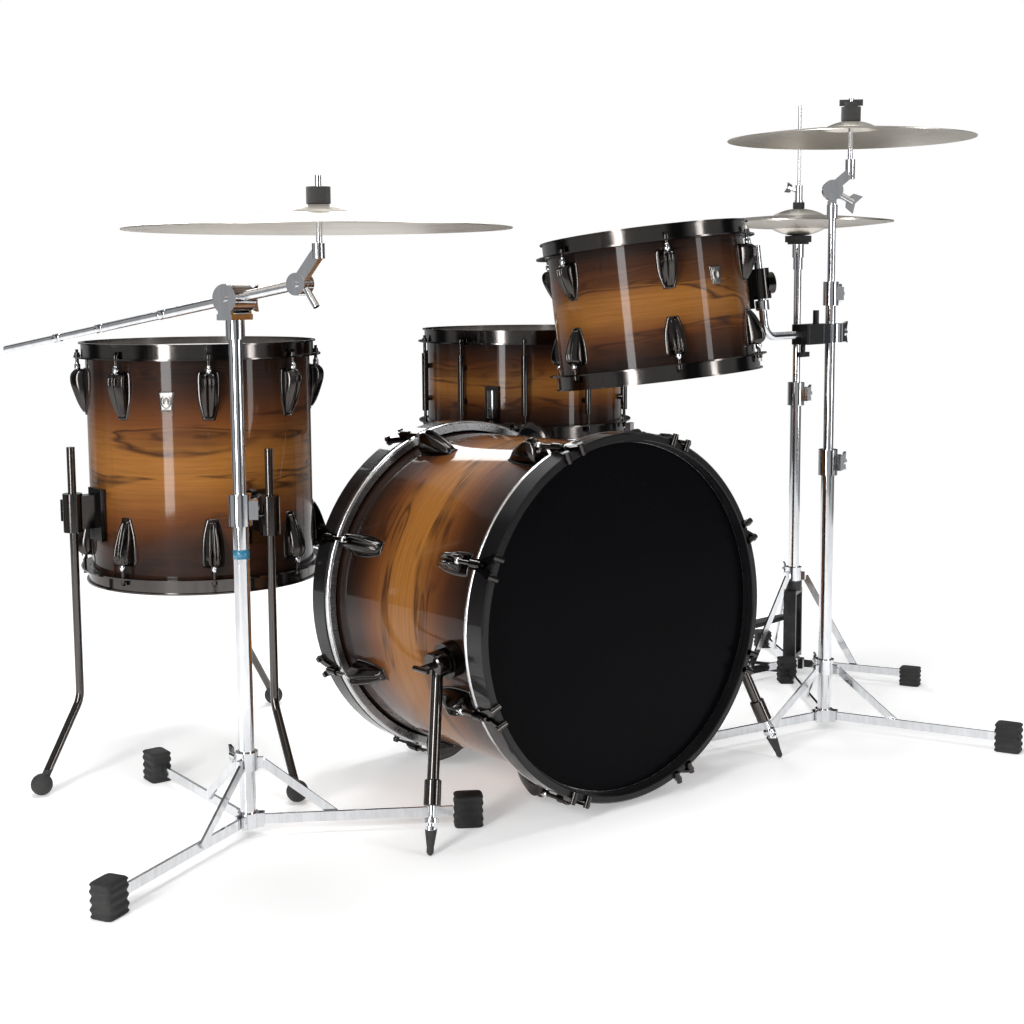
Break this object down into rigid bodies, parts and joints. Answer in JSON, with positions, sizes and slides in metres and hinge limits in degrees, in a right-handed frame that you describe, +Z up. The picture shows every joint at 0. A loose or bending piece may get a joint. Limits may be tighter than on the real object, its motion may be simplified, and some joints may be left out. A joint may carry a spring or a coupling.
{
  "type": "acoustic drum kit",
  "caption": "Acoustic drum kit: bass drum on spurs, floor tom on legs, rack tom and snare on stands, crash cymbals on boom and straight stands, hi-hat with pedal.",
  "frame": {"origin": "middle of the kit's footprint, on the floor", "axes": "+Z up; the bass drum's front head faces -Y; +X is to the right as the audience sees it"},
  "size_m": [1.7687, 1.0764, 1.102],
  "materials": {
    "veneered_shell": "figured veneer under clear gloss lacquer, amber at the middle and dark at both ends",
    "coated_head": "matt coated film",
    "black_head": "gloss black film",
    "lacquered_hoop": "gloss black lacquer over maple",
    "satin_metal": "satin",
    "black_nickel": "smoked mirror plating",
    "chrome": "mirror plating",
    "cymbal_bronze": "lathed and hammered",
    "black_casting": "satin black coat",
    "rubber_foot": "ribbed",
    "felt": "pressed felt"
  },
  "bodies": {
    "kit": {"floor_shell": "veneered_shell", "floor_heads": "coated_head", "floor_hoops": "black_nickel", "floor_lugs": "black_nickel", "floor_tension_rods": "black_nickel", "floor_leg_brackets": "black_nickel", "bass_shell": "veneered_shell", "bass_hoops": "lacquered_hoop", "bass_heads": "black_head", "bass_flesh_hoops": "satin_metal", "bass_lugs": "black_nickel", "bass_claws": "black_nickel", "bass_tension_rods": "black_nickel", "spur_brackets": "black_nickel", "stand_base_tubes": "chrome", "stand_castings": "chrome", "stand_legs": "chrome", "stand_struts": "chrome", "stand_feet": "rubber_foot", "hihat_frame": "black_casting"},
    "spur_left": {"spur_tube_left": "black_nickel"},
    "spur_left_tip": {"spur_rod_left": "black_nickel"},
    "spur_right": {"spur_tube_right": "black_nickel"},
    "spur_right_tip": {"spur_rod_right": "black_nickel"},
    "floor_leg_left": {"floor_leg_left": "black_nickel"},
    "floor_leg_front": {"floor_leg_front": "black_nickel"},
    "floor_leg_rear": {"floor_leg_rear": "black_nickel"},
    "straight_middle": {"straight_middle_tube": "chrome", "tom_clamp": "black_casting"},
    "tom_arm": {"tom_l_rod": "chrome"},
    "tom": {"tom_shell": "veneered_shell", "tom_heads": "coated_head", "tom_hoops": "black_nickel", "tom_lugs": "black_nickel", "tom_tension_rods": "black_nickel", "tom_bracket": "black_nickel"},
    "straight_upper": {"straight_upper_tube": "chrome"},
    "straight_tilter": {"straight_tilter": "chrome", "straight_felts": "felt"},
    "straight_cymbal": {"straight_cymbal": "cymbal_bronze"},
    "boom_upper": {"boom_upper_tube": "chrome"},
    "boom_tilter": {"boom_tilter": "chrome"},
    "boom_arm": {"boom_arm": "chrome"},
    "boom_cymbal_tilter": {"boom_cymbal_tilter": "chrome", "boom_felts": "felt"},
    "boom_cymbal": {"boom_cymbal": "cymbal_bronze"},
    "hihat_upper": {"hihat_upper_tube": "chrome", "hihat_bottom_cymbal": "cymbal_bronze"},
    "hihat_pull": {"hihat_pull_rod": "chrome", "hihat_top_cymbal": "cymbal_bronze"},
    "hihat_footboard": {"hihat_footboard": "black_casting"},
    "snare_top": {"snare_basket": "chrome", "snare_shell": "veneered_shell", "snare_heads": "coated_head", "snare_hoops": "black_nickel", "snare_lugs": "black_nickel", "snare_tension_rods": "black_nickel", "snare_strainer": "black_nickel", "snare_wires": "satin_metal"},
    "snare_lever": {"snare_lever": "black_nickel"}
  },
  "joints": [
    {"name": "spur_left_fold", "type": "hinge", "parent": "kit", "child": "spur_left", "pos_m": [-0.35076, -0.22468, 0.24308], "axis": [-0.9903, -0.0031, -0.1391], "range_deg": [0, 62]},
    {"name": "spur_left_reach", "type": "slide", "parent": "spur_left", "child": "spur_left_tip", "axis": [-0.2701, -0.2868, -0.9191], "range_m": [-0.014, 0.05]},
    {"name": "spur_right_fold", "type": "hinge", "parent": "kit", "child": "spur_right", "pos_m": [0.18596, -0.22468, 0.24308], "axis": [0.9903, -0.0031, -0.1391], "range_deg": [-62, 0]},
    {"name": "spur_right_reach", "type": "slide", "parent": "spur_right", "child": "spur_right_tip", "axis": [0.2701, -0.2868, -0.9191], "range_m": [-0.014, 0.05]},
    {"name": "floor_leg_left_height", "type": "slide", "parent": "kit", "child": "floor_leg_left", "axis": [0, 0, 1], "range_m": [-0.05, 0.12]},
    {"name": "floor_leg_front_height", "type": "slide", "parent": "kit", "child": "floor_leg_front", "axis": [0, 0, 1], "range_m": [-0.05, 0.12]},
    {"name": "floor_leg_rear_height", "type": "slide", "parent": "kit", "child": "floor_leg_rear", "axis": [0, 0, 1], "range_m": [-0.05, 0.12]},
    {"name": "tom_height", "type": "slide", "parent": "kit", "child": "straight_middle", "axis": [0, 0, 1], "range_m": [0, 0.1]},
    {"name": "tom_arm_roll", "type": "hinge", "parent": "straight_middle", "child": "tom_arm", "pos_m": [0.2536, -0.2698, 0.684], "axis": [0.9783, 0.207, 0], "range_deg": [-3, 20]},
    {"name": "tom_swivel", "type": "hinge", "parent": "tom_arm", "child": "tom", "pos_m": [0.2536, -0.2698, 0.684], "axis": [-0.061, 0.099, 0.9932], "range_deg": [-12, 20]},
    {"name": "straight_height", "type": "slide", "parent": "straight_middle", "child": "straight_upper", "axis": [0, 0, 1], "range_m": [-0.02, 0.1]},
    {"name": "straight_tilt", "type": "hinge", "parent": "straight_upper", "child": "straight_tilter", "pos_m": [0.4616, -0.2258, 0.922], "axis": [0.7071, 0.7071, 0], "range_deg": [-15, 20]},
    {"name": "straight_cymbal_spin", "type": "hinge", "parent": "straight_tilter", "child": "straight_cymbal", "pos_m": [0.4814, -0.2456, 1.006], "axis": [0, 0, 1], "continuous": true},
    {"name": "boom_height", "type": "slide", "parent": "kit", "child": "boom_upper", "axis": [0, 0, 1], "range_m": [-0.12, 0.1]},
    {"name": "boom_tilt", "type": "hinge", "parent": "boom_upper", "child": "boom_tilter", "pos_m": [-0.5824, -0.0678, 0.754], "axis": [0.9198, 0.3923, 0], "range_deg": [-20, 20]},
    {"name": "boom_reach", "type": "slide", "parent": "boom_tilter", "child": "boom_arm", "axis": [0.3866, -0.9064, 0.1702], "range_m": [-0.03, 0.2]},
    {"name": "boom_cymbal_tilt", "type": "hinge", "parent": "boom_arm", "child": "boom_cymbal_tilter", "pos_m": [-0.5394, -0.16861, 0.77293], "axis": [0.9198, 0.3923, 0], "range_deg": [-18, 18]},
    {"name": "boom_cymbal_spin", "type": "hinge", "parent": "boom_cymbal_tilter", "child": "boom_cymbal", "pos_m": [-0.52649, -0.19887, 0.845], "axis": [0, 0, 1], "continuous": true},
    {"name": "hihat_height", "type": "slide", "parent": "kit", "child": "hihat_upper", "axis": [0, 0, 1], "range_m": [-0.05, 0]},
    {"name": "hihat_lift", "type": "slide", "parent": "kit", "child": "hihat_pull", "axis": [0, 0, 1], "range_m": [0, 0.026]},
    {"name": "pedal_hinge", "type": "hinge", "parent": "kit", "child": "hihat_footboard", "pos_m": [0.57676, 0.31803, 0.024], "axis": [-0.891, -0.454, 0], "range_deg": [0, 5.7]},
    {"name": "snare_height", "type": "slide", "parent": "kit", "child": "snare_top", "axis": [0, 0, 1], "range_m": [0, 0.08]},
    {"name": "snare_throw_off", "type": "hinge", "parent": "snare_top", "child": "snare_lever", "pos_m": [0.04674, 0.17874, 0.5415], "axis": [0.5446, -0.8387, 0], "range_deg": [0, 75]}
  ],
  "couplings": [
    {"joint": "pedal_hinge", "follows": "hihat_lift", "rad_per_m": 3.7037}
  ]
}
